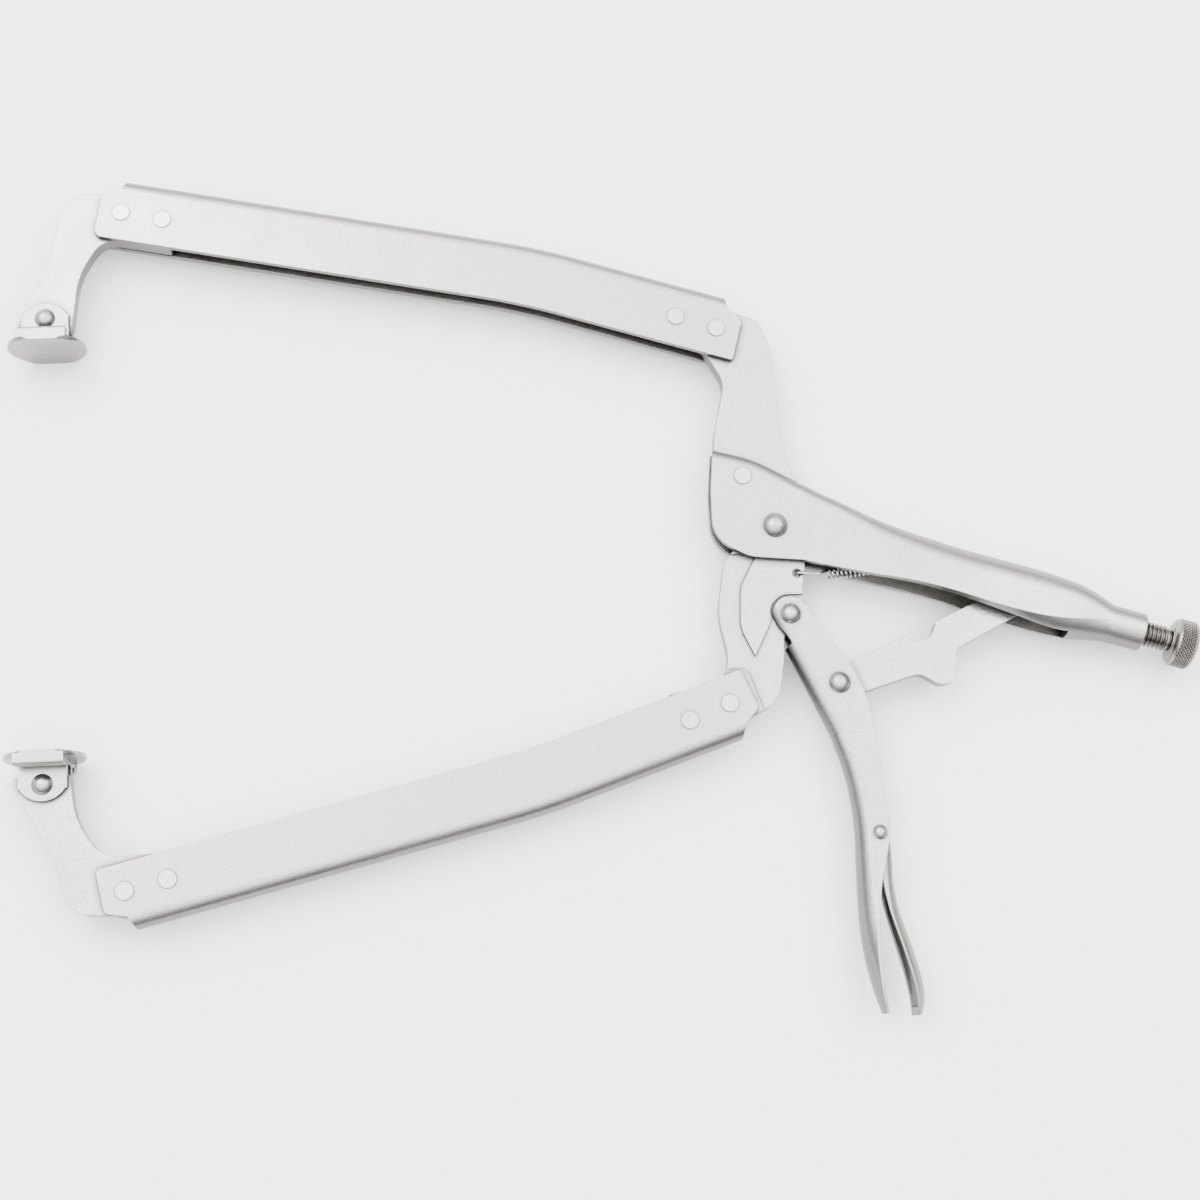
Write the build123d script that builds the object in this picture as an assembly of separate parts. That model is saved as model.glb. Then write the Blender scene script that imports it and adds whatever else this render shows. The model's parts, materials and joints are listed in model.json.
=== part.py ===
from build123d import *
import math
import os

# Locking C clamp with swivel pads, lying flat with its jaws open.
# Every outline below is drawn about the main pivot: +X runs from the jaw tips to the handle,
# +Y from the moving arm to the fixed arm, +Z is the thickness and Z = 0 is the middle plane.
# place() then moves each piece so that the origin is under the middle of the whole clamp.

# ---- driving dimensions, mm ----
PIVOT_X = 60.4            # the main pivot in the part's own frame
PIVOT_Y = 16.2
MID_Z = 12.6              # height of the middle plane over the surface that the clamp lies on

SHEET = 2.2               # steel sheet of the handle, the arms and the lever
FIXED_PLATE = 6.3         # thickness of the fixed jaw plates
MOVING_PLATE = 6.0        # thickness of the moving jaw plates
POCKET = 0.8              # depth of the coined pockets in the moving jaw plate
LEVER_GAP = 5.4           # inside of the lever's channel at its two pivots
LINK_T = 4.6              # toggle link
RUN = 0.05                # radial running clearance of a rivet in a moving part

LEVER_PIVOT = (3.0, -32.8)
LINK_PIVOT = (18.5, -58.7)
TRIGGER_PIVOT = (27.7, -112.8)
FIXED_PAD = (-259.8, 88.4)
MOVING_PAD = (-259.8, -81.1)
FIXED_JAW_RIVET = (-10.4, 19.2)
UPPER_FRONT_RIVETS = [(-232.6, 128.9), (-217.7, 125.7)]
UPPER_REAR_RIVETS = [(-30.6, 81.7), (-15.8, 76.6)]
LOWER_FRONT_RIVETS = [(-232.3, -118.8), (-217.9, -115.6)]
LOWER_REAR_RIVETS = [(-36.1, -69.8), (-21.5, -64.4)]
SPRING_HOLE = (6.8, -17.6)
SPRING_START = (18.5, -17.5)
SPRING_END = (50.0, -14.6)
SPRING_R = 2.1
SPRING_WIRE_R = 0.45

# the adjusting screw's axis: a point on it, its slope, and stations measured along it
SCREW_POINT = (140.5, -47.3)
SCREW_ANGLE = -18.5
SCREW_TIP_S = -48.6
BARREL_START_S = -33.0
NOSE_START_S = -24.0       # the barrel's round nose begins inside its taper
BARREL_END_S = -8.3
NOSE_R = 7.0
NOSE_EDGE = 0.5
LINK_END_S = -55.3
KNOB_START_S = 2.0
KNOB_LENGTH = 9.2
KNOB_R = 8.9
THREAD_R = 4.75
THREAD_PITCH = 1.5875
THREAD_DEPTH = 0.9

HANDLE_OUT = FIXED_PLATE + 2 * SHEET
LEVER_OUT = LEVER_GAP + 2 * SHEET
MAIN_RIVET_R = 3.2
LEVER_RIVET_R = 2.5
PAD_RIVET_R = 2.4
TRIGGER_RIVET_R = 1.6
TRIGGER_GRIP = 12.8       # over the lever's cheeks at the trigger's rivet
FLUSH_RIVET_R = 2.4
FLUSH_HEAD_R = 3.1
FLUSH_HEAD_T = 0.35

PAD_R = 14.0
PAD_T = 2.2
PAD_FACE = 10.8           # from the pad's rivet to its working face
PAD_FLAT = 12.6           # half width of the disc across its two folded sides
BRACKET_T = 1.5
EAR_R = 8.3
LIP_T = 1.3


# ---- helpers ----
def place(shape, label):
    """Move a finished piece into the part's frame and write it as one node."""
    moved = Pos(PIVOT_X, PIVOT_Y, MID_Z) * shape
    moved.label = label
    export_step(moved, "parts/" + label + ".step")


def outline(corners):
    """Face of a closed outline. Each corner is (x, y, fillet radius)."""
    points = [(x, y) for x, y, _ in corners]
    radii = [r for _, _, r in corners]
    return make_face(FilletPolyline(*points, radius=radii, close=True))


def slab(corners, thickness):
    """Outline made into a plate about the middle plane."""
    return extrude(outline(corners), amount=thickness / 2, both=True)


def disc(centre, radius, thickness):
    return Pos(centre[0], centre[1], 0) * Cylinder(radius, thickness)


def along_screw(s, t=0.0):
    """Point at station s along the screw's axis and t above it."""
    a = math.radians(SCREW_ANGLE)
    return (SCREW_POINT[0] + s * math.cos(a) - t * math.sin(a),
            SCREW_POINT[1] + s * math.sin(a) + t * math.cos(a))


def screw_plane(s):
    """Plane across the screw's axis: local X is the part's +Z, local Y is up the handle."""
    a = math.radians(SCREW_ANGLE)
    x, y = along_screw(s)
    return Plane(origin=(x, y, 0), x_dir=(0, 0, 1), z_dir=(-math.cos(a), -math.sin(a), 0))


def parallel(points, distance):
    """Points of an open polyline moved sideways, to the left of its direction."""
    moved = []
    for i, (x, y) in enumerate(points):
        before = points[max(i - 1, 0)]
        here = points[i]
        after = points[min(i + 1, len(points) - 1)]
        d1 = math.atan2(here[1] - before[1], here[0] - before[0])
        d2 = math.atan2(after[1] - here[1], after[0] - here[0])
        if i == 0:
            d1 = d2
        if i == len(points) - 1:
            d2 = d1
        middle = (d1 + d2) / 2
        reach = distance / math.cos((d2 - d1) / 2)
        moved.append((x - reach * math.sin(middle), y + reach * math.cos(middle)))
    return moved


def between(stations, step):
    """Rows at even steps on a smooth curve through the stations."""
    rows = []
    for i in range(len(stations) - 1):
        a, b = stations[i], stations[i + 1]
        before = stations[max(i - 1, 0)]
        after = stations[min(i + 2, len(stations) - 1)]
        run = b[0] - a[0]
        count = max(1, round(abs(run) / step))
        for k in range(count):
            u = k / count
            row = [a[0] + run * u]
            for p, q, r, t in zip(before[1:], a[1:], b[1:], after[1:]):
                slope_a = (r - p) / (b[0] - before[0]) * run
                slope_b = (t - q) / (after[0] - a[0]) * run
                row.append(q * (1 + 2 * u) * (1 - u) ** 2 + r * u * u * (3 - 2 * u)
                           + slope_a * u * (1 - u) ** 2 - slope_b * u * u * (1 - u))
            rows.append(tuple(row))
    return rows + [stations[-1]]


def round_back(body, points, radius):
    """Round the two long edges over the polyline, so that the web of a channel is half round."""
    chosen = []
    for edge in body.edges():
        mid = edge.position_at(0.5)
        flat = abs(edge.position_at(0).Z - edge.position_at(1).Z) < 1e-6
        if flat and abs(mid.Z) > 1.0 and near_line(mid, points) < 1.2 and edge.length > 3.0:
            chosen.append(edge)
    return fillet(chosen, radius)


def near_line(point, points):
    """Distance from a point to a polyline, in the XY plane."""
    best = 1e9
    for (ax, ay), (bx, by) in zip(points, points[1:]):
        dx, dy = bx - ax, by - ay
        u = ((point.X - ax) * dx + (point.Y - ay) * dy) / (dx * dx + dy * dy)
        u = min(1.0, max(0.0, u))
        best = min(best, math.hypot(point.X - ax - u * dx, point.Y - ay - u * dy))
    return best


def dome_head(centre, base_z, radius, height):
    """Button head of a rivet, flat side at base_z, on the +Z side."""
    cap_r = (radius ** 2 + height ** 2) / (2 * height)
    ball = Pos(centre[0], centre[1], base_z + height - cap_r) * Sphere(cap_r)
    keep = Pos(centre[0], centre[1], base_z + height) * Cylinder(radius, 2 * height)
    return ball & keep


def dome_rivet(centre, shank_r, grip, head_r, head_h):
    """Rivet with a button head at each end."""
    body = disc(centre, shank_r, grip)
    head = dome_head(centre, grip / 2, head_r, head_h)
    return body + head + mirror(head, about=Plane.XY)


def flush_rivet(centre, grip):
    """Rivet peened almost flush with the sheet on both sides."""
    body = disc(centre, FLUSH_RIVET_R, grip)
    head = Pos(centre[0], centre[1], grip / 2 + FLUSH_HEAD_T / 2) * Cylinder(FLUSH_HEAD_R, FLUSH_HEAD_T)
    return body + head + mirror(head, about=Plane.XY)


def pivot_rivets():
    """The four dome-headed rivets of the linkage; the heads clear what turns under them."""
    return {
        "main_pivot_rivet": dome_rivet((0, 0), MAIN_RIVET_R, HANDLE_OUT, 4.5, 2.7),
        "lever_pivot_rivet": dome_rivet(LEVER_PIVOT, LEVER_RIVET_R, LEVER_OUT + 0.2, 3.7, 2.4),
        "link_pivot_rivet": dome_rivet(LINK_PIVOT, LEVER_RIVET_R, LEVER_OUT, 3.9, 2.4),
        "trigger_rivet": dome_rivet(TRIGGER_PIVOT, TRIGGER_RIVET_R, TRIGGER_GRIP, 2.5, 1.5),
    }


def rivet_group(centres, grip):
    return Compound(children=[flush_rivet(c, grip) for c in centres])


# ---- arms: folded channels, open towards the inside of the C ----
UPPER_WEB = [(-11.4, 90.0), (-80.0, 112.3), (-230.0, 142.6)]
UPPER_BEND_R = 250.0
LOWER_WEB = [(-228.5, -131.7), (-88.0, -100.0), (-17.5, -76.9)]
LOWER_BEND_R = 250.0


def channel(corners, web, bend_r, gap, rivets):
    """Folded channel: half-round web over the polyline, flanges, and holes for its rivets."""
    width = gap + 2 * SHEET
    body = round_back(slab(corners, width), web, width / 2 - 0.02)
    inner = parallel(web, SHEET)
    far_side = parallel(web, 60.0)
    (x0, y0), (x1, y1), (x2, y2) = inner
    first = (x0 + 20 * (x0 - x1) / math.dist(inner[0], inner[1]),
             y0 + 20 * (y0 - y1) / math.dist(inner[0], inner[1]))
    last = (x2 + 20 * (x2 - x1) / math.dist(inner[2], inner[1]),
            y2 + 20 * (y2 - y1) / math.dist(inner[2], inner[1]))
    ring = [(*first, 0), (x1, y1, bend_r), (*last, 0),
            (last[0] + far_side[2][0] - x2, last[1] + far_side[2][1] - y2, 0),
            (*far_side[1], 0),
            (first[0] + far_side[0][0] - x0, first[1] + far_side[0][1] - y0, 0)]
    hollow = round_back(slab(ring, gap), [first, (x1, y1), last], gap / 2 - 0.02)
    body -= hollow
    for centre in rivets:
        body -= disc(centre, FLUSH_RIVET_R, 4 * width)
    return body


def upper_arm_channel():
    corners = [(-241.0, 119.8, 1.5), (-88.0, 89.0, 250), (-10.6, 63.9, 1.0), (-5.8, 80.0, 3.0),
               (-11.0, 84.6, 0.8), (-11.4, 90.0, 0), (-80.0, 112.3, UPPER_BEND_R),
               (-230.0, 142.6, 0), (-232.6, 137.9, 0.8), (-239.2, 136.9, 2.0),
               (-242.2, 122.0, 1.5)]
    return channel(corners, UPPER_WEB, UPPER_BEND_R, FIXED_PLATE,
                   UPPER_FRONT_RIVETS + UPPER_REAR_RIVETS)


def lower_arm_channel():
    corners = [(-242.0, -111.3, 1.5), (-92.0, -77.0, 250), (-16.9, -52.4, 1.5),
               (-11.2, -66.6, 3.0), (-16.0, -71.4, 0.8), (-17.5, -76.9, 0),
               (-88.0, -100.0, LOWER_BEND_R), (-228.5, -131.7, 0), (-231.6, -127.4, 0.8),
               (-239.0, -126.2, 2.5)]
    return channel(corners, LOWER_WEB, LOWER_BEND_R, MOVING_PLATE,
                   LOWER_FRONT_RIVETS + LOWER_REAR_RIVETS)


# ---- jaw plates ----
def upper_tip_plate():
    pad_x, pad_y = FIXED_PAD
    corners = [(pad_x - 11.3, pad_y + 0.2, 2.0), (-262.5, 101.5, 20), (-257.6, 114.5, 30),
               (-253.6, 136.8, 9), (-235.0, 137.4, 1.0), (-211.5, 132.9, 1.0),
               (-215.0, 114.8, 1.0), (-239.5, 119.7, 9), (-248.3, 105.5, 30),
               (pad_x + 9.2, pad_y - 3.3, 2.5), (pad_x + 3.0, pad_y - 5.5, 12),
               (pad_x - 6.0, pad_y - 5.0, 8)]
    plate = slab(corners, FIXED_PLATE) - disc(FIXED_PAD, PAD_RIVET_R + RUN, 20)
    for centre in UPPER_FRONT_RIVETS:
        plate -= disc(centre, FLUSH_RIVET_R, 20)
    return plate


def lower_tip_plate():
    pad_x, pad_y = MOVING_PAD
    corners = [(pad_x - 11.2, pad_y + 1.5, 3.0), (-266.6, -87.8, 12), (-256.5, -105.5, 40),
               (-250.8, -125.8, 9), (-233.0, -126.9, 1.0), (-211.5, -122.2, 1.0),
               (-214.0, -106.2, 1.0), (-239.0, -107.0, 9), (-249.2, -95.5, 30),
               (pad_x + 9.0, pad_y + 3.3, 2.5), (pad_x + 3.0, pad_y + 5.5, 12),
               (pad_x - 6.0, pad_y + 5.0, 8)]
    plate = slab(corners, MOVING_PLATE) - disc(MOVING_PAD, PAD_RIVET_R + RUN, 20)
    for centre in LOWER_FRONT_RIVETS:
        plate -= disc(centre, FLUSH_RIVET_R, 20)
    return plate


EYE_R = 11.6              # the moving jaw's eye round the main pivot


def fixed_jaw_plate():
    corners = [(-43.0, 76.8, 1.5), (-39.0, 93.0, 1.5), (-11.0, 83.9, 2.0), (0.8, 80.0, 7),
               (4.6, 66.0, 20), (5.0, 36.0, 60), (7.4, 21.5, 25), (12.6, 12.0, 2),
               (12.6, 3.0, 1), (0, 3.0, 0), (-8.0, 8.4, 1), (-22.0, 8.4, 1),
               (-19.2, 36.0, 30), (-14.0, 56.0, 10), (-21.5, 70.2, 8)]
    plate = slab(corners, FIXED_PLATE) - disc((0, 0), EYE_R + 0.6, 20)
    plate -= disc(FIXED_JAW_RIVET, FLUSH_RIVET_R, 20)
    for centre in UPPER_REAR_RIVETS:
        plate -= disc(centre, FLUSH_RIVET_R, 20)
    return plate


def moving_jaw_plate():
    corners = [(-11.6, 0, 0), (-11.6, -2.0, 5), (-19.5, -13.5, 14), (-22.9, -31.5, 30),
               (-20.0, -48.5, 14), (-23.5, -56.3, 4), (-43.5, -60.2, 1.5), (-40.8, -78.6, 1.5),
               (-18.0, -71.2, 2.0), (-3.4, -64.2, 12), (0.0, -47.0, 60), (0.4, -39.0, 4),
               (8.9, -37.0, 5), (9.2, -28.5, 3), (8.0, -24.0, 5), (9.6, -17.0, 5),
               (11.4, -4.0, 6), (11.4, 0, 0)]
    plate = slab(corners, MOVING_PLATE) + disc((0, 0), EYE_R, MOVING_PLATE)
    right = [(30.0, -25.3, 0), (0.4, -25.3, 5.5), (-4.4, -29.6, 5), (-3.8, -34.5, 6),
             (-10.7, -47.3, 1), (-10.7, -80.0, 0), (30.0, -80.0, 0)]
    left = [(-40.0, -9.5, 0), (-6.9, -9.5, 1), (-14.0, -22.0, 14), (-15.2, -37.0, 14),
            (-10.7, -47.3, 1), (-10.7, -80.0, 0), (-40.0, -80.0, 0)]
    keep = slab([(-60, -52.0, 0), (-14.0, -52.0, 3), (-8.6, -69.0, 3), (-60, -86.0, 0)], 20)
    for pocket in (right, left):
        cut = Pos(0, 0, MOVING_PLATE / 2) * slab(pocket, 2 * POCKET)
        cut -= keep
        plate -= cut
        plate -= mirror(cut, about=Plane.XY)
    plate -= disc((0, 0), MAIN_RIVET_R + RUN, 20)
    plate -= disc(LEVER_PIVOT, LEVER_RIVET_R, 20)
    plate -= disc(SPRING_HOLE, 1.7, 20)
    for centre in LOWER_REAR_RIVETS:
        plate -= disc(centre, FLUSH_RIVET_R, 20)
    return plate


# ---- handle: folded sheet with two cheeks in front and a rolled barrel behind ----
def arch(s, top, bottom, width, sag):
    """Section across the handle: half-round top, straight sides, bottom bowed by sag."""
    half = width / 2
    crown = min(half - 0.1, (top - bottom) / 2 - 0.1)
    edges = [
        ThreePointArc((-half, top - crown), (0, top), (half, top - crown)),
        Line((half, top - crown), (half, bottom + sag)),
        ThreePointArc((half, bottom + sag), (0, bottom), (-half, bottom + sag)),
        Line((-half, bottom + sag), (-half, top - crown)),
    ]
    return screw_plane(s) * make_face(Wire(edges))


JOIN_S = -136             # station where the cheeks pass into the rolled rear half
JOIN_TOP = 18.4
JOIN_BOTTOM = -9.5
JOIN_INSET = 0.03         # the rear half starts this much inside the cheeks' outline

# station along the screw's axis, top, bottom, width, bow of the bottom
HANDLE_STEP = 6.0
HANDLE_STATIONS = [
    (JOIN_S, JOIN_TOP - JOIN_INSET, JOIN_BOTTOM + JOIN_INSET, HANDLE_OUT - 2 * JOIN_INSET, 0.05),
    (-125, 16.5, -8.8, 11.2, 0.05),
    (-110, 13.8, -8.2, 15.2, 0.3),
    (-95, 12.6, -7.5, 18.6, 0.8),
    (-80, 12.0, -8.0, 19.6, 1.6),
    (-64, 12.1, -9.7, 19.4, 2.8),
    (-50, 12.1, -10.9, 18.8, 4.4),
    (-40, 11.7, -10.6, 17.8, 5.4),
    (-33, 10.9, -9.4, 16.6, 6.0),
    (-27, 9.3, -8.1, 15.0, 6.5),
    (-22, 7.5, -7.1, 14.0, 6.6),
    (-17, 6.7, -6.7, 13.4, 6.5),
]
# the hollow: station, top, width; it is open below
HOLLOW_SECTIONS = [
    (JOIN_S, JOIN_TOP - SHEET, FIXED_PLATE),
    (-125, 14.3, 6.8),
    (-110, 11.6, 10.8),
    (-95, 10.4, 14.2),
    (-78, 9.8, 15.2),
    (-62, 9.8, 14.8),
    (-48, 9.6, 12.8),
    (-36, 8.6, 10.4),
]


def handle_shell():
    web_start = along_screw(JOIN_S, JOIN_TOP)
    low_start = along_screw(JOIN_S, JOIN_BOTTOM)
    top_line = [(-20.4, 30.9), (-5.6, 26.7), web_start]
    corners = [(-20.4, 30.9, 0), (-5.6, 26.7, 45), (*web_start, 0), (*low_start, 0),
               (-10.0, -11.2, 14), (-22.9, -4.0, 12), (-22.4, 14.0, 40)]
    front = round_back(slab(corners, HANDLE_OUT), top_line, HANDLE_OUT / 2 - 0.02)
    rear = loft([arch(*row) for row in between(HANDLE_STATIONS, HANDLE_STEP)])
    nose = axis_piece([(NOSE_START_S, NOSE_R), (BARREL_END_S - NOSE_EDGE, NOSE_R),
                       (BARREL_END_S, NOSE_R - NOSE_EDGE)])
    shell = front + rear + nose
    slot = slab([(-40, -30, 0), (-40, 60, 0), (11.5, 60, 0), (11.5, 14.0, 0),
                 (*along_screw(JOIN_S, JOIN_TOP - SHEET), 0), (*along_screw(JOIN_S, -30), 0)], FIXED_PLATE)
    hollow = loft([arch(s, top, -30, width, 0.05) for s, top, width in HOLLOW_SECTIONS])
    shell -= slot
    shell -= hollow
    bore_length = BARREL_END_S - BARREL_START_S + 20
    x, y = along_screw((BARREL_END_S + BARREL_START_S) / 2)
    bore = Pos(x, y, 0) * Rot(0, 0, SCREW_ANGLE) * Rot(0, 90, 0) * Cylinder(THREAD_R + 0.06, bore_length)
    shell -= bore
    tab_x, tab_y = along_screw(-88.0, 7.9)
    shell += Pos(tab_x, tab_y, 0) * Rot(0, 0, SCREW_ANGLE) * Box(1.6, 5.0, 4.0)
    shell -= disc((0, 0), MAIN_RIVET_R, 40)
    shell -= disc(FIXED_JAW_RIVET, FLUSH_RIVET_R, 40)
    return shell


def axis_piece(profile):
    """Turned piece on the screw's axis. The profile is a list of (station, radius)."""
    x, y = SCREW_POINT
    points = [(s, r) for s, r in profile]
    face = make_face(Polyline((points[0][0], 0), *points, (points[-1][0], 0), close=True))
    turned = revolve(face, axis=Axis.X)
    return Pos(x, y, 0) * Rot(0, 0, SCREW_ANGLE) * turned


def adjusting_screw():
    """Shank with a rounded tip; the thread is a row of ring grooves."""
    profile = [(SCREW_TIP_S, 2.6), (SCREW_TIP_S + 1.2, 3.6), (SCREW_TIP_S + 3.0, 3.8)]
    s = SCREW_TIP_S + 4.2
    while s < KNOB_START_S - THREAD_PITCH:
        profile += [(s, THREAD_R), (s + 0.35, THREAD_R),
                    (s + THREAD_PITCH * 0.5, THREAD_R - THREAD_DEPTH),
                    (s + THREAD_PITCH * 0.75, THREAD_R - THREAD_DEPTH)]
        s += THREAD_PITCH
    profile += [(s, 4.1), (KNOB_START_S, 4.1)]
    return axis_piece(profile)


def screw_knob():
    """Knurled knob with rounded rims and a smooth collar in front."""
    start, end = KNOB_START_S, KNOB_START_S + KNOB_LENGTH
    return axis_piece([(start, 5.2), (start + 0.7, 5.2), (start + 0.8, 7.4), (start + 1.4, 8.5),
                       (start + 2.2, KNOB_R), (end - 1.8, KNOB_R), (end - 0.7, 8.4),
                       (end, 7.2), (end, 0.5)])


# ---- lever: folded channel, open towards the handle ----
LEVER_WEB = [(0.8, -45.0), (14.2, -77.0)]
LEVER_STEP = 5.0
# height, left side, right side, width
LEVER_STATIONS = [
    (-77.0, 14.2, 29.6, LEVER_OUT),
    (-90.0, 17.8, 30.4, 10.4),
    (-101.0, 19.4, 30.8, 11.2),
    (-111.0, 19.8, 31.3, 12.2),
    (-120.0, 19.4, 29.5, 13.0),
    (-130.0, 18.9, 26.6, 13.7),
    (-143.0, 18.6, 24.6, 14.3),
    (-154.0, 19.3, 23.7, 14.3),
    (-166.0, 21.4, 24.2, 12.8),
    (-174.6, 23.8, 25.4, 8.6),
]


def side_arch(y, left, right, width, crown):
    """Section across the lever or the trigger in the plane Y = y, with its back at left."""
    half = width / 2
    plane = Plane(origin=(0, y, 0), x_dir=(1, 0, 0), z_dir=(0, -1, 0))
    edges = [
        ThreePointArc((left + crown, -half), (left, 0), (left + crown, half)),
        Line((left + crown, half), (right, half)),
        Line((right, half), (right, -half)),
        Line((right, -half), (left + crown, -half)),
    ]
    return plane * make_face(Wire(edges))


def lever_shell():
    bx, by = LEVER_PIVOT
    join_y, join_left, join_right, _ = LEVER_STATIONS[0]
    corners = [(bx - 6.3, by - 2.0, 0), (bx - 2.2, by - 7.0, 2), (2.8, -43.4, 0.8),
               (*LEVER_WEB[0], 0), (join_left, join_y, 0), (join_right, join_y, 0),
               (27.9, -64.0, 40), (23.4, -52.6, 25), (bx + 5.4, by + 3.3, 0), (bx, by, 0)]
    top = slab(corners, LEVER_OUT)
    top += disc(LEVER_PIVOT, 6.3, LEVER_OUT)
    top = round_back(top, LEVER_WEB, LEVER_OUT / 2 - 0.02)
    sections = between(LEVER_STATIONS, LEVER_STEP)
    inset = [(join_y, join_left + JOIN_INSET, join_right - JOIN_INSET, LEVER_OUT - 2 * JOIN_INSET)]
    lower = loft([side_arch(y, left, right, width, min(width / 2 - 0.1, (right - left) - 0.9))
                  for y, left, right, width in inset + sections[1:]])
    shell = top + lower
    (x0, y0), (x1, y1) = parallel(LEVER_WEB, SHEET)
    hollow = slab([(x0 - 1.3, y0 + 3.0, 0), (x1, join_y, 0), (60, join_y, 0), (60, 0, 0),
                   (-30, 0, 0), (-30, y0 + 3.0, 0)], LEVER_GAP)
    rows = []
    for y, left, right, width in sections[:-3]:
        gap = width - 2 * SHEET
        crown = min(gap / 2 - 0.1, max(right - left - SHEET - 0.9, 0.6))
        rows.append(side_arch(y, left + SHEET, right + 12, gap, crown))
    shell -= hollow
    shell -= loft(rows)
    shell -= disc(LEVER_PIVOT, LEVER_RIVET_R + RUN, 40)
    shell -= disc(LINK_PIVOT, LEVER_RIVET_R, 40)
    shell -= disc(TRIGGER_PIVOT, TRIGGER_RIVET_R, 40)
    return shell


def toggle_link():
    """Flat bar with a notch above, a lobe below and a round end that pushes on the screw."""
    cx, cy = LINK_PIVOT
    ex, ey = along_screw(LINK_END_S)
    corners = [(cx - 1.6, cy + 5.6, 2), (22.9, -50.9, 4), (44.7, -42.4, 0.8), (47.2, -44.3, 2),
               (53.6, -43.9, 5), (56.0, -38.2, 0.5), (57.6, -37.0, 0.8), (ex - 3.0, ey + 4.7, 3),
               (ex + 2.0, ey - 5.0, 3), (62.6, -48.0, 2.5), (61.6, -61.4, 4.8), (54.4, -60.3, 5),
               (48.4, -56.2, 6), (cx + 2.5, cy - 5.2, 2)]
    link = slab(corners, LINK_T)
    link += disc(LINK_PIVOT, 5.8, LINK_T)
    link += disc((ex, ey), 5.4, LINK_T)
    return link - disc(LINK_PIVOT, LEVER_RIVET_R + RUN, 20)


TRIGGER_SHEET = 1.5
TRIGGER_STEP = 4.0
# height, back (right side), depth, width
TRIGGER_STATIONS = [
    (-103.0, 30.0, 6.5, 6.0),
    (-112.0, 31.8, 7.0, 6.6),
    (-121.0, 32.2, 5.6, 7.2),
    (-130.0, 31.9, 4.4, 8.2),
    (-140.0, 33.0, 4.0, 9.8),
    (-150.0, 35.6, 4.2, 11.8),
    (-160.0, 38.0, 4.2, 13.0),
    (-167.5, 38.9, 3.8, 13.4),
    (-173.0, 38.3, 3.0, 12.0),
    (-175.8, 37.2, 2.2, 9.0),
]


def release_trigger():
    """Pressed finger lever; its hollow side faces the lever."""
    outer = []
    inner = []
    for y, back, depth, width in between(TRIGGER_STATIONS, TRIGGER_STEP):
        crown = min(width / 2 - 0.1, depth - 0.3)
        outer.append(side_arch(y, -back, -back + depth, width, crown))
        gap = width - 2 * TRIGGER_SHEET
        crown_in = min(gap / 2 - 0.1, max(depth - TRIGGER_SHEET - 0.2, 0.3))
        inner.append(side_arch(y, -back + TRIGGER_SHEET, -back + depth + 8, gap, crown_in))
    pressed = loft(outer) - loft(inner[:-1])
    trigger = mirror(pressed, about=Plane.YZ)
    return trigger - disc(TRIGGER_PIVOT, TRIGGER_RIVET_R + RUN, 20)


# ---- swivel pads, drawn with the rivet at the origin and the working face towards -Y ----
def pad_bracket(plate_t):
    """Base plate under the end of the jaw and two half-round ears."""
    back = -PAD_FACE + PAD_T
    base = Pos(0, back + BRACKET_T / 2, 0) * Box(2 * EAR_R, BRACKET_T, 2 * (PAD_FLAT - 1.5))
    ear_z = plate_t / 2 + 0.25 + BRACKET_T / 2
    profile = outline([(-EAR_R, back + 0.2, 0), (-EAR_R, 1.5, 0), (0, 1.5, 0), (EAR_R, 1.5, 0),
                       (EAR_R, back + 0.2, 0)])
    round_end = Pos(0, -3.2, 0) * Circle(9.0)
    limit = Pos(0, 5.0, 0) * Rectangle(2 * EAR_R, 2 * (5.0 - back - 0.2))
    ear = Pos(0, 0, ear_z) * extrude((profile + round_end) & limit, amount=BRACKET_T / 2, both=True)
    bracket = base + ear + mirror(ear, about=Plane.XY)
    return bracket - Cylinder(PAD_RIVET_R, 40)


def pad_disc():
    """Steel disc whose two flat sides are folded over the bracket's base."""
    back = -PAD_FACE + PAD_T
    plate = Pos(0, back - PAD_T / 2, 0) * Rot(90, 0, 0) * Cylinder(PAD_R, PAD_T)
    plate = fillet(plate.edges().filter_by(GeomType.CIRCLE), 0.9)
    plate &= Box(4 * PAD_R, 4 * PAD_R, 2 * PAD_FLAT)
    lip_len = 2 * EAR_R + 0.4
    lip_top = back + BRACKET_T + 0.05 + LIP_T
    wall_h = lip_top - back + PAD_T - 0.9
    wall = Pos(0, lip_top - wall_h / 2, PAD_FLAT - LIP_T / 2) * Box(lip_len, wall_h, LIP_T)
    lip = Pos(0, lip_top - LIP_T / 2, PAD_FLAT - 2.2) * Box(lip_len, LIP_T, 4.4)
    fold = wall + lip
    outer_edges = [e for e in fold.edges().filter_by(Axis.X)
                   if e.center().Z > PAD_FLAT - 0.1 and e.center().Y > lip_top - 0.1]
    fold = fillet(outer_edges, 1.2)
    return plate + fold + mirror(fold, about=Plane.XY)


def pad_rivet(plate_t):
    grip = plate_t + 2 * 0.25 + 2 * BRACKET_T
    return dome_rivet((0, 0), PAD_RIVET_R, grip, 3.7, 2.4)


def on_fixed(piece):
    return Pos(FIXED_PAD[0], FIXED_PAD[1], 0) * piece


def on_moving(piece):
    return Pos(MOVING_PAD[0], MOVING_PAD[1], 0) * Rot(0, 0, 180) * piece


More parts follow.
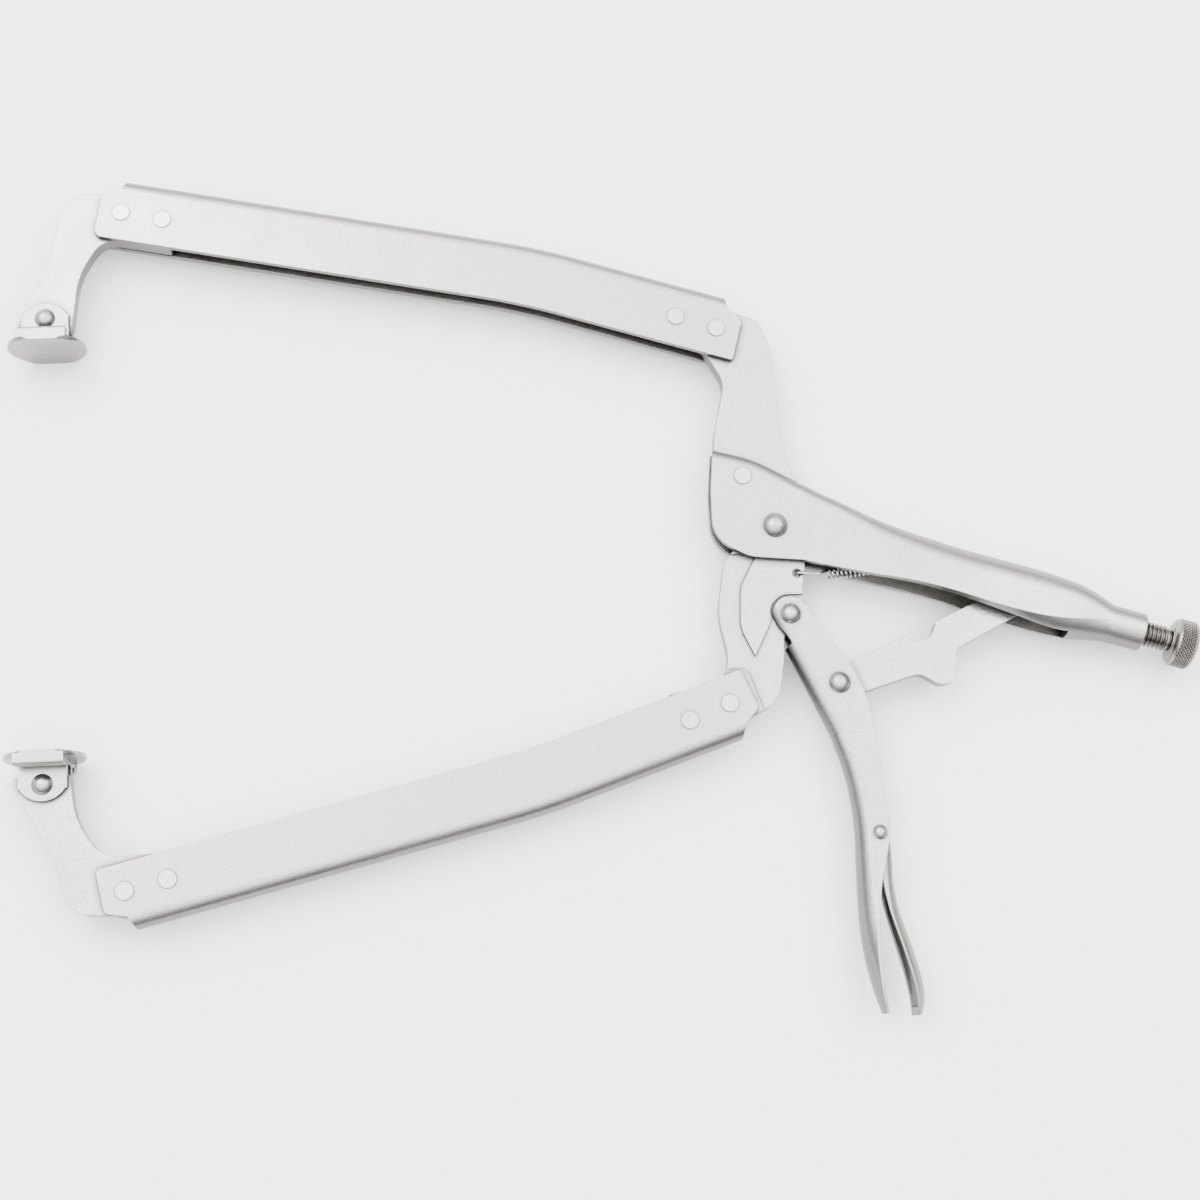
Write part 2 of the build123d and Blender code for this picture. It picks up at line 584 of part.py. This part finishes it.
# ---- return spring: envelope of the coil, with a hook at each end ----
def jaw_spring():
    hx, hy = SPRING_HOLE
    (x0, y0), (x1, y1) = SPRING_START, SPRING_END
    slope = math.degrees(math.atan2(y1 - y0, x1 - x0))
    coil = Pos((x0 + x1) / 2, (y0 + y1) / 2, 0) * Rot(0, 0, slope) * Rot(0, 90, 0)
    coil = coil * Cylinder(SPRING_R, math.dist(SPRING_START, SPRING_END))
    front = FilletPolyline((x0 + 1.0, y0, 0), (x0 - 5.0, y0 - 0.6, 3.7), (hx, hy, 3.7),
                           (hx, hy, -2.2), radius=[1.5, 0.7])
    tab_x, tab_y = along_screw(-88.0, 7.0)
    rear = FilletPolyline((x1 - 1.0, y1, 0), (tab_x - 3.0, tab_y - 1.6, 0), (tab_x - 1.4, tab_y, 0),
                          radius=[1.5])
    hooks = [sweep(Plane(path @ 0, z_dir=path % 0) * Circle(SPRING_WIRE_R), path)
             for path in (front, rear)]
    return coil + hooks[0] + hooks[1]


def main():
    os.makedirs("parts", exist_ok=True)
    place(handle_shell(), "handle_shell")
    for label, rivet in pivot_rivets().items():
        place(rivet, label)
    place(flush_rivet(FIXED_JAW_RIVET, HANDLE_OUT), "fixed_jaw_rivet")
    fixed_arm_t = FIXED_PLATE + 2 * SHEET
    moving_arm_t = MOVING_PLATE + 2 * SHEET
    place(rivet_group(UPPER_FRONT_RIVETS, fixed_arm_t), "upper_front_rivets")
    place(rivet_group(UPPER_REAR_RIVETS, fixed_arm_t), "upper_rear_rivets")
    place(rivet_group(LOWER_FRONT_RIVETS, moving_arm_t), "lower_front_rivets")
    place(rivet_group(LOWER_REAR_RIVETS, moving_arm_t), "lower_rear_rivets")
    place(jaw_spring(), "jaw_spring")
    place(upper_arm_channel(), "upper_arm_channel")
    place(fixed_jaw_plate(), "fixed_jaw_plate")
    place(upper_tip_plate(), "upper_tip_plate")
    place(lower_arm_channel(), "lower_arm_channel")
    place(moving_jaw_plate(), "moving_jaw_plate")
    place(lower_tip_plate(), "lower_tip_plate")
    place(adjusting_screw(), "adjusting_screw")
    place(screw_knob(), "screw_knob")
    place(lever_shell(), "lever_shell")
    place(toggle_link(), "toggle_link")
    place(release_trigger(), "release_trigger")
    place(on_fixed(pad_bracket(FIXED_PLATE)), "fixed_pad_bracket")
    place(on_fixed(pad_disc()), "fixed_pad_disc")
    place(on_fixed(pad_rivet(FIXED_PLATE)), "fixed_pad_rivet")
    place(on_moving(pad_bracket(MOVING_PLATE)), "moving_pad_bracket")
    place(on_moving(pad_disc()), "moving_pad_disc")
    place(on_moving(pad_rivet(MOVING_PLATE)), "moving_pad_rivet")


main()
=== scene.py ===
import json
import math

import bpy
from mathutils import Matrix, Vector


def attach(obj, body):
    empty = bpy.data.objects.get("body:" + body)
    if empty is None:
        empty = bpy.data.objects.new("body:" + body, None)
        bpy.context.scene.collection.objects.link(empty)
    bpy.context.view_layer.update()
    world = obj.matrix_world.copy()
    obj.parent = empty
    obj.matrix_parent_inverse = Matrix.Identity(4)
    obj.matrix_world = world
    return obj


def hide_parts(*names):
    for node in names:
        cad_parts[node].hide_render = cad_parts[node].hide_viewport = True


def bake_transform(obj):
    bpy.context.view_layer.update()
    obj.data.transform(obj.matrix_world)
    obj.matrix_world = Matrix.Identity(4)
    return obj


# Looks of the locking C clamp. Lengths are in metres, in the same frame as the CAD part.

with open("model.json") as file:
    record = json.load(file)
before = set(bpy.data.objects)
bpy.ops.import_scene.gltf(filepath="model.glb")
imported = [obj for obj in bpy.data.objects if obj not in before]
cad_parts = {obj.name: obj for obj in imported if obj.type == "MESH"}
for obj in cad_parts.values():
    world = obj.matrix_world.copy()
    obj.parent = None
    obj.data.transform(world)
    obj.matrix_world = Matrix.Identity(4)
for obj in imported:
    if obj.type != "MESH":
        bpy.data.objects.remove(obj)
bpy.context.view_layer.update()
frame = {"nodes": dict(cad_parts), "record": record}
MM = 0.001

# ---- places repeated from the part's own drawing ----
PIVOT = Vector((60.4, 16.2, 12.6)) * MM        # main pivot, in the middle plane
SCREW_SLOPE = math.radians(-18.5)
SCREW_POINT = PIVOT + Vector((140.5, -47.3, 0)) * MM
SCREW_AXIS = Vector((math.cos(SCREW_SLOPE), math.sin(SCREW_SLOPE), 0))
SCREW_TIP_S = -48.6 * MM
THREAD_START_S = -44.4 * MM
THREAD_END_S = 1.4 * MM
THREAD_R = 4.72 * MM
THREAD_PITCH = 1.5875 * MM
THREAD_DEPTH = 0.85 * MM
NECK_R = 3.9 * MM                              # smooth neck between thread and knob
TIP_R = 3.8 * MM
KNOB_START_S = 2.0 * MM
KNOB_LENGTH = 9.2 * MM
KNOB_R = 8.9 * MM
SPRING_HOLE = PIVOT + Vector((6.8, -17.6, 0)) * MM
SPRING_START = PIVOT + Vector((18.3, -18.0, 0)) * MM    # the wound coil sags 0.5 mm under its envelope
SPRING_END = PIVOT + Vector((50.0, -15.2, 0)) * MM
SPRING_R = 2.1 * MM
SPRING_WIRE_R = 0.43 * MM
SPRING_TURNS = 20
SPRING_TAB = SCREW_POINT + SCREW_AXIS * (-88.0 * MM) + Vector((0.3173, 0.9483, 0)) * (7.0 * MM)

# ---- studio ----
FLOOR_HALF = 3.0
SKY_STRENGTH = 6.0                             # soft white sky overhead, darker round the horizon
SKY_TILT = (-0.10, 0.24, 0.96)                 # where the sky is brightest
LENS = 57.45
CAMERA_PLACE = PIVOT + Vector((-123.70, -182.65, 666.25)) * MM
CAMERA_RIGHT = Vector((0.995423, -0.061226, 0.073380))
CAMERA_UP = Vector((0.042375, 0.970990, 0.235330))


# ---- node helpers ----
def shade(tone, factor=1.0, cap=1.0):
    """Opaque colour: the tone made darker or brighter by a factor."""
    return tuple(min(c * factor, cap) for c in tone) + (1.0,)


class Shader:
    """A material's node tree, with short calls for the nodes used here."""

    def __init__(self, name):
        self.material = bpy.data.materials.new(name)
        self.material.use_nodes = True
        self.nodes = self.material.node_tree.nodes
        self.links = self.material.node_tree.links
        self.surface = self.nodes["Principled BSDF"]
        self.place = self.nodes.new("ShaderNodeTexCoord").outputs["Object"]

    def link(self, value, socket):
        if isinstance(value, (int, float, tuple)):
            socket.default_value = value
        else:
            self.links.new(value, socket)

    def mapped(self, scale=(1, 1, 1), turn=0.0):
        """Place on the piece, turned about Z and stretched, for grain that has a direction."""
        node = self.nodes.new("ShaderNodeMapping")
        node.vector_type = "TEXTURE"
        node.inputs["Rotation"].default_value = (0, 0, turn)
        node.inputs["Scale"].default_value = scale
        self.links.new(self.place, node.inputs["Vector"])
        return node.outputs["Vector"]

    def noise(self, scale, detail=3.0, roughness=0.55, vector=None):
        node = self.nodes.new("ShaderNodeTexNoise")
        node.inputs["Scale"].default_value = scale
        node.inputs["Detail"].default_value = detail
        node.inputs["Roughness"].default_value = roughness
        self.links.new(vector or self.place, node.inputs["Vector"])
        return node.outputs["Fac"]

    def pits(self, scale):
        """Distance field of small random cells: the dimples that blasting leaves."""
        node = self.nodes.new("ShaderNodeTexVoronoi")
        node.feature = "SMOOTH_F1"
        node.inputs["Scale"].default_value = scale
        node.inputs["Smoothness"].default_value = 0.6
        self.links.new(self.place, node.inputs["Vector"])
        return node.outputs["Distance"]

    def spread(self, value, low, high, to_low, to_high):
        node = self.nodes.new("ShaderNodeMapRange")
        self.links.new(value, node.inputs["Value"])
        node.inputs["From Min"].default_value = low
        node.inputs["From Max"].default_value = high
        node.inputs["To Min"].default_value = to_low
        node.inputs["To Max"].default_value = to_high
        return node.outputs["Result"]

    def math(self, operation, a, b=0.0):
        node = self.nodes.new("ShaderNodeMath")
        node.operation = operation
        self.link(a, node.inputs[0])
        self.link(b, node.inputs[1])
        return node.outputs[0]

    def mix(self, factor, a, b):
        node = self.nodes.new("ShaderNodeMix")
        node.data_type = "RGBA"
        self.link(factor, node.inputs["Factor"])
        self.link(a, node.inputs[6])
        self.link(b, node.inputs[7])
        return node.outputs[2]

    def rounded(self, radius):
        """Normal with the sharp sheared edges softened by the radius."""
        node = self.nodes.new("ShaderNodeBevel")
        node.samples = 4
        node.inputs["Radius"].default_value = radius
        return node.outputs["Normal"]

    def bump(self, height, depth, normal=None, strength=1.0):
        node = self.nodes.new("ShaderNodeBump")
        node.inputs["Strength"].default_value = strength
        node.inputs["Distance"].default_value = depth
        self.links.new(height, node.inputs["Height"])
        if normal is not None:
            self.links.new(normal, node.inputs["Normal"])
        return node.outputs["Normal"]

    def edge_wear(self, rounded):
        """1 on edges that hands and work have polished, 0 on the faces."""
        normal = self.nodes.new("ShaderNodeNewGeometry").outputs["Normal"]
        dot = self.nodes.new("ShaderNodeVectorMath")
        dot.operation = "DOT_PRODUCT"
        self.links.new(rounded, dot.inputs[0])
        self.links.new(normal, dot.inputs[1])
        return self.spread(dot.outputs["Value"], 0.995, 0.86, 0.0, 1.0)

    def hollows(self, reach):
        """1 in the open and near 0 deep in a channel or against a neighbour; the materials paint shade
        into their colour with it.
        """
        node = self.nodes.new("ShaderNodeAmbientOcclusion")
        node.samples = 6
        node.inputs["Distance"].default_value = reach
        return node.outputs["AO"]

    def steepness(self):
        """Sine of the tilt: 0 on faces that look straight up or down, 1 on sheared and rolled sides; the
        materials darken their colour by it as painted shade.
        """
        split = self.nodes.new("ShaderNodeSeparateXYZ")
        self.links.new(self.nodes.new("ShaderNodeNewGeometry").outputs["Normal"], split.inputs["Vector"])
        level = self.math("MULTIPLY", split.outputs["Z"], split.outputs["Z"])
        sine = self.math("SQRT", self.math("SUBTRACT", 1.0, level))
        return self.spread(sine, 0.10, 0.95, 0.0, 1.0)

    def done(self, color, roughness, normal, metallic=1.0):
        self.link(color, self.surface.inputs["Base Color"])
        self.link(roughness, self.surface.inputs["Roughness"])
        self.surface.inputs["Metallic"].default_value = metallic
        self.links.new(normal, self.surface.inputs["Normal"])
        return self.material


# ---- materials ----
def satin_nickel(name, tone, rough, grain, depth, edge_radius=0.45 * MM):
    """Nickel plate over blasted steel: pebbled dimples, cloudy sheen, edges a little polished; shade is
    painted into the colour on steep sides, in channels, at contacts and along creases.
    """
    s = Shader(name)
    edges = s.rounded(edge_radius)
    wear = s.edge_wear(edges)
    clouds = s.noise(38.0, 4.0, 0.6)
    fine = s.noise(grain * 1.25, 3.0, 0.65)
    dimples = s.pits(grain)
    color = s.mix(s.spread(fine, 0.32, 0.68, 0.0, 1.0), shade(tone, 0.74), shade(tone, 1.14))
    color = s.mix(s.spread(clouds, 0.35, 0.70, 0.0, 0.22), color, shade(tone, 0.72))
    color = s.mix(s.math("MULTIPLY", wear, 0.45), color, shade(tone, 1.7, 0.95))
    # Painted shade: colour darkened on steep and rolled sides, where less light falls.
    color = s.mix(s.math("MULTIPLY", s.steepness(), 0.85), color, shade(tone, 0.22))
    # Painted shade: near black deep in channels and hollows, where no light gets in.
    painted_channel_shade = s.spread(s.hollows(11 * MM), 0.60, 0.22, 0.0, 1.0)
    color = s.mix(painted_channel_shade, color, (0.022, 0.020, 0.018, 1.0))
    # Painted shadow: a dark band on the colour close to a neighbouring part or the floor.
    painted_contact_shadow = s.math("MULTIPLY", s.spread(s.hollows(3.4 * MM), 0.955, 0.66, 0.0, 1.0), 0.62)
    color = s.mix(painted_contact_shadow, color, (0.06, 0.056, 0.052, 1.0))
    # Painted shade: thin dark lines in narrow creases, along pocket edges and round rivet heads.
    painted_crease_shade = s.math("MULTIPLY", s.spread(s.hollows(1.3 * MM), 0.93, 0.55, 0.0, 1.0), 0.9)
    color = s.mix(painted_crease_shade, color, (0.035, 0.032, 0.029, 1.0))
    sheen = s.spread(clouds, 0.30, 0.72, rough - 0.05, rough + 0.06)
    sheen = s.math("SUBTRACT", sheen, s.math("MULTIPLY", wear, 0.10))
    waves = s.bump(s.noise(55.0, 2.0), 0.05 * MM, edges, 0.5)
    grainy = s.bump(dimples, depth, waves, 0.9)
    return s.done(color, sheen, s.bump(fine, depth * 0.5, grainy, 0.8))


def polished_rivet(name, tone, rough):
    """Bright cold-headed rivet: faint turned rings and hairline scratches, with painted shade where it
    meets the plate.
    """
    s = Shader(name)
    edges = s.rounded(0.15 * MM)
    scratches = s.noise(900.0, 4.0, 0.7, s.mapped((1.0, 9.0, 1.0), 0.6))
    marks = s.noise(260.0, 3.0)
    color = s.mix(s.spread(marks, 0.35, 0.65, 0.0, 1.0), shade(tone, 0.90), shade(tone))
    # Painted shade: a dark ring where the rivet head meets the plate.
    painted_crease_shade = s.math("MULTIPLY", s.spread(s.hollows(1.0 * MM), 0.75, 0.30, 0.0, 1.0), 0.8)
    color = s.mix(painted_crease_shade, color, (0.10, 0.09, 0.08, 1.0))
    sheen = s.spread(scratches, 0.30, 0.70, rough - 0.04, rough + 0.08)
    return s.done(color, sheen, s.bump(scratches, 0.012 * MM, edges, 0.6))


def brushed_pad(name, tone, rough):
    """Pressed pad: fine scratches run across the working face from clamping; shade is painted into the
    colour on steep sides and along creases.
    """
    s = Shader(name)
    edges = s.rounded(0.25 * MM)
    wear = s.edge_wear(edges)
    brushing = s.noise(520.0, 5.0, 0.65, s.mapped((14.0, 1.0, 1.0)))
    spots = s.noise(140.0, 4.0, 0.6)
    color = s.mix(s.spread(brushing, 0.32, 0.68, 0.0, 1.0), shade(tone, 0.80), shade(tone))
    color = s.mix(s.math("MULTIPLY", wear, 0.4), color, (0.92, 0.91, 0.89, 1.0))
    # Painted shade: colour darkened on steep sides, where less light falls.
    color = s.mix(s.math("MULTIPLY", s.steepness(), 0.45), color, shade(tone, 0.4))
    # Painted shade: thin dark lines in creases and against neighbouring parts.
    painted_crease_shade = s.math("MULTIPLY", s.spread(s.hollows(1.6 * MM), 0.70, 0.25, 0.0, 1.0), 0.8)
    color = s.mix(painted_crease_shade, color, (0.08, 0.075, 0.07, 1.0))
    sheen = s.spread(spots, 0.30, 0.70, rough - 0.05, rough + 0.08)
    return s.done(color, sheen, s.bump(brushing, 0.03 * MM, edges, 0.8))


def turned_steel(name, tone, rough, oil):
    """Machined screw steel: fine turning marks round the axis, with painted shade in the low places."""
    s = Shader(name)
    turning = s.noise(2400.0, 3.0, 0.6, s.mapped((1.0, 30.0, 30.0), SCREW_SLOPE))
    stain = s.noise(300.0, 4.0, 0.6)
    color = s.mix(s.spread(stain, 0.35, 0.68, 0.0, 1.0), shade(tone, oil), shade(tone))
    # Painted shade: near black in the thread's roots and other low places.
    groove = s.math("MULTIPLY", s.spread(s.hollows(0.9 * MM), 0.82, 0.42, 0.0, 1.0), 0.95)
    color = s.mix(groove, color, (0.020, 0.018, 0.016, 1.0))
    sheen = s.spread(turning, 0.30, 0.70, rough - 0.05, rough + 0.08)
    return s.done(color, sheen, s.bump(turning, 0.008 * MM, None, 0.7))


def pale_floor():
    """Matt paper, a little mottled."""
    s = Shader("studio_floor")
    paper = s.noise(420.0, 4.0)
    white = (1.0, 1.0, 1.0)
    tone = s.mix(s.spread(paper, 0.3, 0.7, 0.0, 1.0), shade(white, 0.90), shade(white, 0.93))
    return s.done(tone, 0.9, s.bump(paper, 0.02 * MM, None, 0.3), 0.0)


# ---- meshes ----
def grid_mesh(name, rings):
    """Tube through rings of points, each ring closed on itself, capped at both ends."""
    count = len(rings[0])
    verts = [tuple(p) for ring in rings for p in ring]
    faces = []
    for i in range(len(rings) - 1):
        for k in range(count):
            a = i * count + k
            b = i * count + (k + 1) % count
            faces.append((a, b, b + count, a + count))
    faces.append(tuple(reversed(range(count))))
    faces.append(tuple(range(len(verts) - count, len(verts))))
    mesh = bpy.data.meshes.new(name)
    mesh.from_pydata(verts, [], faces)
    mesh.validate()
    for polygon in mesh.polygons:
        polygon.use_smooth = len(polygon.vertices) == 4
    obj = bpy.data.objects.new(name, mesh)
    bpy.context.scene.collection.objects.link(obj)
    return obj


def turned(name, stations, radius_at, steps):
    """Piece turned on the screw's axis; radius_at gives the radius at a station and an angle."""
    side = Vector((0, 0, 1))
    up = side.cross(SCREW_AXIS)
    rings = []
    for s in stations:
        centre = SCREW_POINT + SCREW_AXIS * s
        ring = []
        for k in range(steps):
            angle = 2 * math.pi * k / steps
            direction = up * math.cos(angle) + side * math.sin(angle)
            ring.append(centre + direction * radius_at(s, angle))
        rings.append(ring)
    return grid_mesh(name, rings)


def profile_radius(profile, s):
    """Radius of a turned profile of (station, radius) points at station s."""
    for (s0, r0), (s1, r1) in zip(profile, profile[1:]):
        if s <= s1:
            u = min(max((s - s0) / max(s1 - s0, 1e-9), 0.0), 1.0)
            return r0 + (r1 - r0) * u
    return profile[-1][1]


def threaded_shank():
    """Screw shank with a true helical thread, a rounded tip and a smooth neck."""
    root_r = THREAD_R - THREAD_DEPTH
    shoulder_s, tip_end_s = SCREW_TIP_S + 1.2 * MM, SCREW_TIP_S + 3.0 * MM
    core = [(SCREW_TIP_S, 2.4 * MM), (shoulder_s, 3.5 * MM), (tip_end_s, TIP_R),
            (THREAD_START_S, root_r), (THREAD_END_S, root_r), (KNOB_START_S, NECK_R)]
    per_turn = 12
    step = THREAD_PITCH / per_turn
    stations = [SCREW_TIP_S, SCREW_TIP_S + 0.6 * MM, shoulder_s, tip_end_s]
    count = int((THREAD_END_S - THREAD_START_S) / step)
    stations += [THREAD_START_S + i * step for i in range(count + 1)]
    stations += [THREAD_END_S + 0.2 * MM, KNOB_START_S]

    def radius_at(s, angle):
        base = profile_radius(core, s)
        if not THREAD_START_S < s < THREAD_END_S:
            return base
        phase = (s / THREAD_PITCH - angle / (2 * math.pi)) % 1.0
        flank = min(max((0.5 - abs(phase - 0.5)) * 2.6 - 0.18, 0.0), 1.0)
        runout = min((s - THREAD_START_S), (THREAD_END_S - s)) / THREAD_PITCH
        return base + (THREAD_R - base) * flank * min(runout, 1.0)

    return turned("screw_thread", stations, radius_at, 64)


def knurled_knob():
    """Knob with a diamond knurl between two rounded rims and a smooth collar in front."""
    start, end = KNOB_START_S, KNOB_START_S + KNOB_LENGTH
    profile = [(start, 5.0 * MM), (start + 0.15 * MM, 5.2 * MM), (start + 0.7 * MM, 5.2 * MM),
               (start + 0.8 * MM, 7.2 * MM), (start + 1.0 * MM, 7.9 * MM), (start + 1.4 * MM, 8.4 * MM),
               (start + 2.0 * MM, 8.8 * MM), (start + 2.3 * MM, KNOB_R), (end - 1.9 * MM, KNOB_R),
               (end - 1.4 * MM, 8.75 * MM), (end - 0.8 * MM, 8.3 * MM), (end - 0.3 * MM, 7.5 * MM),
               (end - 0.1 * MM, 6.9 * MM), (end, 6.2 * MM)]
    around = 40
    along = 1.45 * MM
    depth = 0.7 * MM
    low, high = start + 1.9 * MM, end - 1.5 * MM
    step = 0.1 * MM
    count = int(round(KNOB_LENGTH / step))
    stations = [start + i * step for i in range(count + 1)]

    def ridge(u):
        """1 on the crest and 0 in the groove of one of the two crossing rows of ridges."""
        return 1.0 - abs((u % 1.0) - 0.5) * 2.0

    def radius_at(s, angle):
        base = profile_radius(profile, s)
        fade = min(max(min(s - low, high - s) / (0.35 * MM), 0.0), 1.0)
        a = around * angle / (2 * math.pi)
        b = (s - start) / along
        pyramid = min(ridge(a + b), ridge(a - b))
        return base - depth * fade * (1.0 - min(pyramid * 1.45, 1.0))

    return turned("knurled_knob", stations, radius_at, around * 10)


def wire(name, path, radius, sides=12):
    """Round wire along a list of points, its section carried along without twisting."""
    rings = []
    side = Vector((0.7, 0.7, 0.1))
    for i, point in enumerate(path):
        ahead = path[min(i + 1, len(path) - 1)] - path[max(i - 1, 0)]
        ahead.normalize()
        side = (side - ahead * side.dot(ahead)).normalized()
        other = ahead.cross(side)
        rings.append([point + (side * math.cos(t) + other * math.sin(t)) * radius
                      for t in (2 * math.pi * k / sides for k in range(sides))])
    return grid_mesh(name, rings)


def bend_between(a, b, c, steps):
    """Smooth corner: a curve from a to c that is drawn towards b."""
    found = []
    for i in range(steps + 1):
        u = i / steps
        found.append(a * (1 - u) ** 2 + b * (2 * u * (1 - u)) + c * u ** 2)
    return found


def coil_spring():
    """Return spring: wound coil, a long hook through the jaw's eye and a short one at the tab."""
    along = (SPRING_END - SPRING_START).normalized()
    side = Vector((0, 0, 1))
    up = side.cross(along)
    length = (SPRING_END - SPRING_START).length
    wound_r = SPRING_R - SPRING_WIRE_R
    per_turn = 20

    def on_coil(i):
        angle = 2 * math.pi * i / per_turn
        centre = SPRING_START + along * (length * i / (SPRING_TURNS * per_turn))
        return centre + (up * math.cos(angle) + side * math.sin(angle)) * wound_r

    coil = [on_coil(i) for i in range(SPRING_TURNS * per_turn + 1)]
    out = Vector((0, 0, 3.75 * MM))
    eye_top = SPRING_HOLE + out
    eye_low = SPRING_HOLE - Vector((0, 0, 2.0 * MM))
    shoulder = SPRING_START - along * (4.2 * MM) + out * 0.92
    hook = [eye_low, SPRING_HOLE, SPRING_HOLE + out * 0.6]
    hook += bend_between(SPRING_HOLE + out * 0.7, eye_top, eye_top + (shoulder - eye_top) * 0.16, 6)
    hook += [eye_top + (shoulder - eye_top) * u for u in (0.4, 0.7)]
    hook += bend_between(shoulder - along * (1.0 * MM), shoulder + along * (2.5 * MM), coil[0], 10)[:-1]
    tail_from = coil[-1]
    tab_near = SPRING_TAB - along * (3.0 * MM)
    tail = bend_between(tail_from, SPRING_END + along * (2.5 * MM), tab_near, 8)[1:]
    tail += bend_between(tab_near, SPRING_TAB - along * (1.0 * MM), SPRING_TAB - along * (1.4 * MM), 4)[1:]
    return wire("return_spring", hook + coil + tail, SPRING_WIRE_R)


# ---- dress the object ----
def give(obj, material):
    obj.data.materials.clear()
    obj.data.materials.append(material)


def dress():
    sheet = satin_nickel("nickel_sheet", (0.43, 0.42, 0.40), 0.33, 1300.0, 0.045 * MM)
    plate = satin_nickel("nickel_plate", (0.45, 0.44, 0.42), 0.35, 1150.0, 0.050 * MM)
    flush = satin_nickel("rivet_flush", (0.52, 0.51, 0.49), 0.30, 1700.0, 0.030 * MM, 0.3 * MM)
    dome = polished_rivet("rivet_bright", (0.36, 0.355, 0.345), 0.24)
    pad = brushed_pad("pad_steel", (0.36, 0.35, 0.33), 0.28)
    screw = turned_steel("screw_steel", (0.21, 0.195, 0.18), 0.22, 0.55)
    knob = turned_steel("knob_steel", (0.28, 0.265, 0.245), 0.26, 0.70)
    spring = turned_steel("spring_steel", (0.50, 0.49, 0.47), 0.18, 0.80)
    looks = {"nickel_sheet": sheet, "nickel_plate": plate, "rivet_flush": flush, "rivet_bright": dome,
             "pad_steel": pad, "screw_steel": screw, "knob_steel": knob, "spring_steel": spring}
    for part in frame["record"]["subparts"]:
        give(frame["nodes"][part["node"]], looks[part["material_slot"]])

    shank = threaded_shank()
    give(shank, screw)
    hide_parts("adjusting_screw")
    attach(shank, "screw_shank")

    grip = knurled_knob()
    give(grip, knob)
    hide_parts("screw_knob")
    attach(grip, "screw_knob")

    coil = coil_spring()
    give(coil, spring)
    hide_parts("jaw_spring")
    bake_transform(coil)


# ---- studio ----
def studio():
    """Pale floor, a soft sky and two large area lights."""
    half = FLOOR_HALF
    corners = [(-half, -half, 0), (half, -half, 0), (half, half, 0), (-half, half, 0)]
    mesh = bpy.data.meshes.new("floor")
    mesh.from_pydata(corners, [], [(0, 1, 2, 3)])
    floor = bpy.data.objects.new("floor", mesh)
    bpy.context.scene.collection.objects.link(floor)
    give(floor, pale_floor())

    world = bpy.data.worlds.new("studio")
    bpy.context.scene.world = world
    world.use_nodes = True
    nodes, links = world.node_tree.nodes, world.node_tree.links
    direction = nodes.new("ShaderNodeTexCoord").outputs["Generated"]
    tilt = nodes.new("ShaderNodeVectorMath")
    tilt.operation = "DOT_PRODUCT"
    tilt.inputs[1].default_value = SKY_TILT
    links.new(direction, tilt.inputs[0])
    ramp = nodes.new("ShaderNodeValToRGB")
    stops = ramp.color_ramp.elements
    stops[0].position, stops[0].color = 0.02, (0.05, 0.05, 0.052, 1)
    stops[1].position, stops[1].color = 0.93, (1.0, 1.0, 1.0, 1)
    middle = stops.new(0.45)
    middle.color = (0.30, 0.30, 0.305, 1)
    high = stops.new(0.75)
    high.color = (0.92, 0.92, 0.92, 1)
    links.new(tilt.outputs["Value"], ramp.inputs["Fac"])
    links.new(ramp.outputs["Color"], nodes["Background"].inputs["Color"])
    nodes["Background"].inputs["Strength"].default_value = SKY_STRENGTH

    # name, place, aimed at, width, height, watts
    lights = [("key", (-0.55, 0.55, 1.15), (-0.05, 0.0, 0.0), 0.8, 0.8, 16.0),
              ("fill", (0.75, 0.25, 1.0), (0.05, 0.0, 0.0), 0.7, 0.7, 6.0)]
    for name, place, aim, width, height, watts in lights:
        data = bpy.data.lights.new(name, "AREA")
        data.shape = "RECTANGLE"
        data.size, data.size_y, data.energy = width, height, watts
        light = bpy.data.objects.new(name, data)
        light.location = place
        light.rotation_euler = (Vector(aim) - Vector(place)).to_track_quat("-Z", "Y").to_euler()
        bpy.context.scene.collection.objects.link(light)


def camera():
    """Almost straight above, from the side of the moving arm, turned a little about the view."""
    data = bpy.data.cameras.new("camera")
    data.sensor_width = 36.0
    data.lens = LENS
    data.clip_start = 0.01
    view = bpy.data.objects.new("camera", data)
    place, right = CAMERA_PLACE, CAMERA_RIGHT
    back = right.cross(CAMERA_UP).normalized()
    up = back.cross(right).normalized()
    view.matrix_world = Matrix(((right.x, up.x, back.x, place.x),
                                (right.y, up.y, back.y, place.y),
                                (right.z, up.z, back.z, place.z),
                                (0, 0, 0, 1)))
    bpy.context.scene.collection.objects.link(view)
    bpy.context.scene.camera = view


dress()
studio()
camera()
